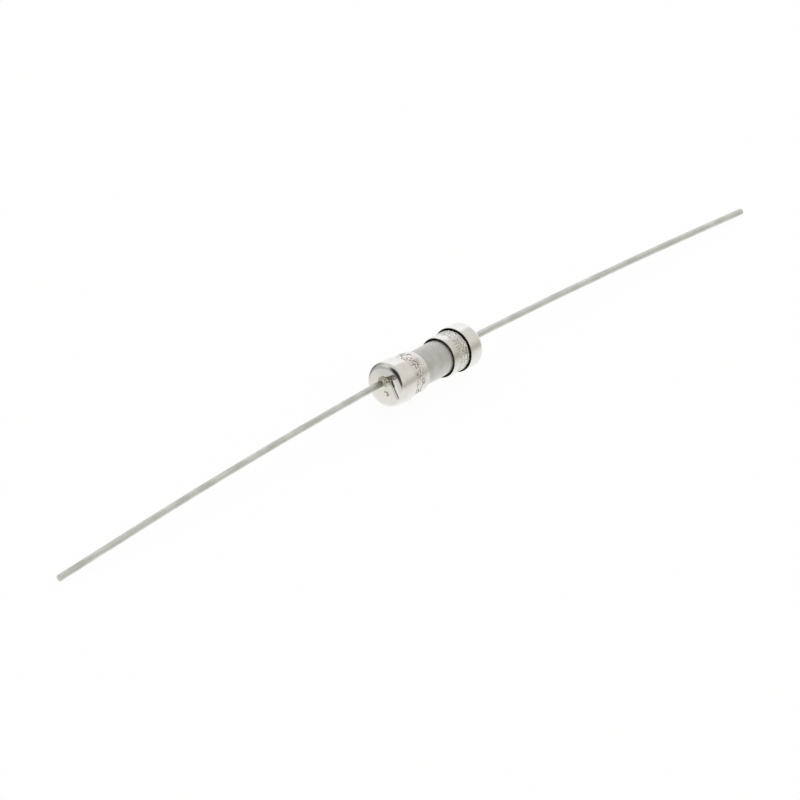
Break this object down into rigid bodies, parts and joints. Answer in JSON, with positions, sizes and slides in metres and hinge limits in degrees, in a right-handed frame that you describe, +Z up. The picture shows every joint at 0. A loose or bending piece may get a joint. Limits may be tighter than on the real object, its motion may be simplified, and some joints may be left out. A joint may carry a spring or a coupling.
{
  "type": "axial lead fuse",
  "caption": "Small cylindrical fuse: a ceramic tube with nickel-plated end caps and a long straight wire lead at each end.",
  "frame": {"origin": "middle of the fuse body, on the axis of its caps", "axes": "+X along the fuse towards its right lead, +Z up, away from the surface that the fuse and its lead tips lie on"},
  "size_m": [0.0862, 0.0036, 0.0036],
  "materials": {
    "ceramic": "unglazed, satin grey",
    "contact_cap_nickel": "bright nickel plating on brass, roll-stamped",
    "lead_cap_nickel": "bright nickel plating on brass",
    "tinned_wire": "satin tin plating on copper",
    "weld_metal": "rough, as welded",
    "solder": "bright solder",
    "glass_fibre": "wound glass fibre, matt",
    "fuse_wire": "tinned fine wire"
  },
  "bodies": {
    "root": {"ceramic_tube": "ceramic", "contact_cap_left": "contact_cap_nickel", "contact_cap_right": "contact_cap_nickel", "lead_cap_left": "lead_cap_nickel", "lead_cap_right": "lead_cap_nickel", "lead_wire_left": "tinned_wire", "lead_wire_right": "tinned_wire", "weld_bead_left": "weld_metal", "weld_bead_right": "weld_metal", "end_solder_left": "solder", "end_solder_right": "solder", "element_core": "glass_fibre", "fuse_element": "fuse_wire"}
  },
  "joints": []
}
